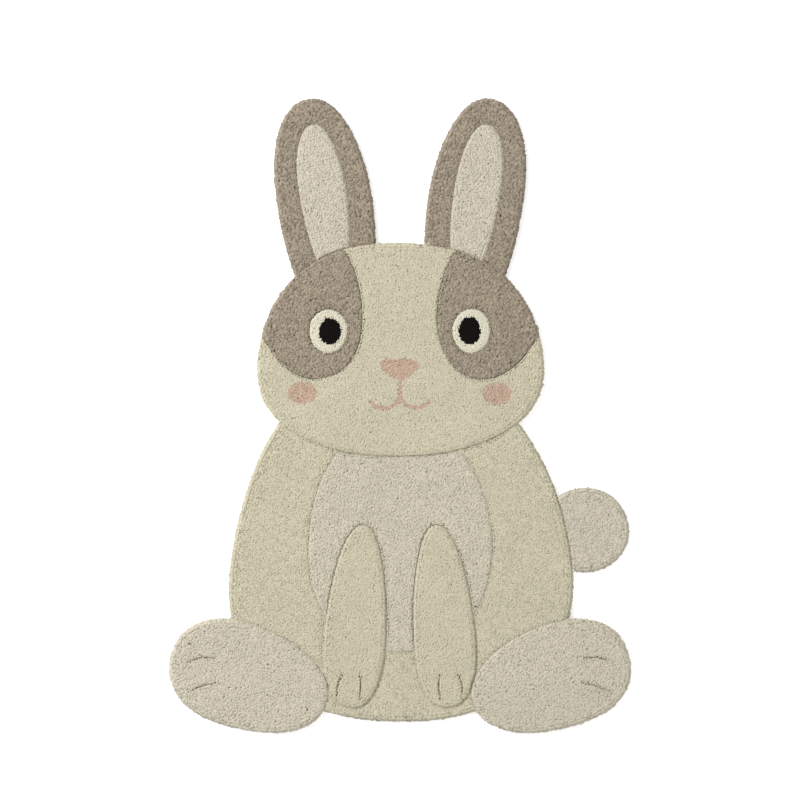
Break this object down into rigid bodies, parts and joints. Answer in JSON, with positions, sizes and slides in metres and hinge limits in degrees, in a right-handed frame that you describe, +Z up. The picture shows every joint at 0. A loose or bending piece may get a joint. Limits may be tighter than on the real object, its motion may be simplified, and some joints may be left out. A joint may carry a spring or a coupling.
{
  "type": "rabbit shaped rug",
  "caption": "Flat hand-tufted child's rug in the outline of a sitting rabbit; short cut pile in zones of colour, carved along their edges; lies on a floor for sitting and play.",
  "frame": {"origin": "centre of the bounding box, on the floor", "axes": "+Y along the rug towards the tips of the ears, +X across it to the side of the tail, +Z up out of the floor"},
  "size_m": [0.8, 1.1, 0.0175],
  "materials": {
    "ivory_pile": "cut wool pile, matt",
    "stone_pile": "cut wool pile, matt, a little greyer and coarser",
    "taupe_pile": "cut wool pile, matt, coarser grain",
    "cream_pile": "cut wool pile, matt",
    "black_pile": "cut wool pile, matt",
    "pink_pile": "cut wool pile, matt",
    "ground_cloth": "plain-woven cotton ground cloth, matt"
  },
  "bodies": {
    "root": {"rug": "ivory_pile"}
  },
  "joints": []
}
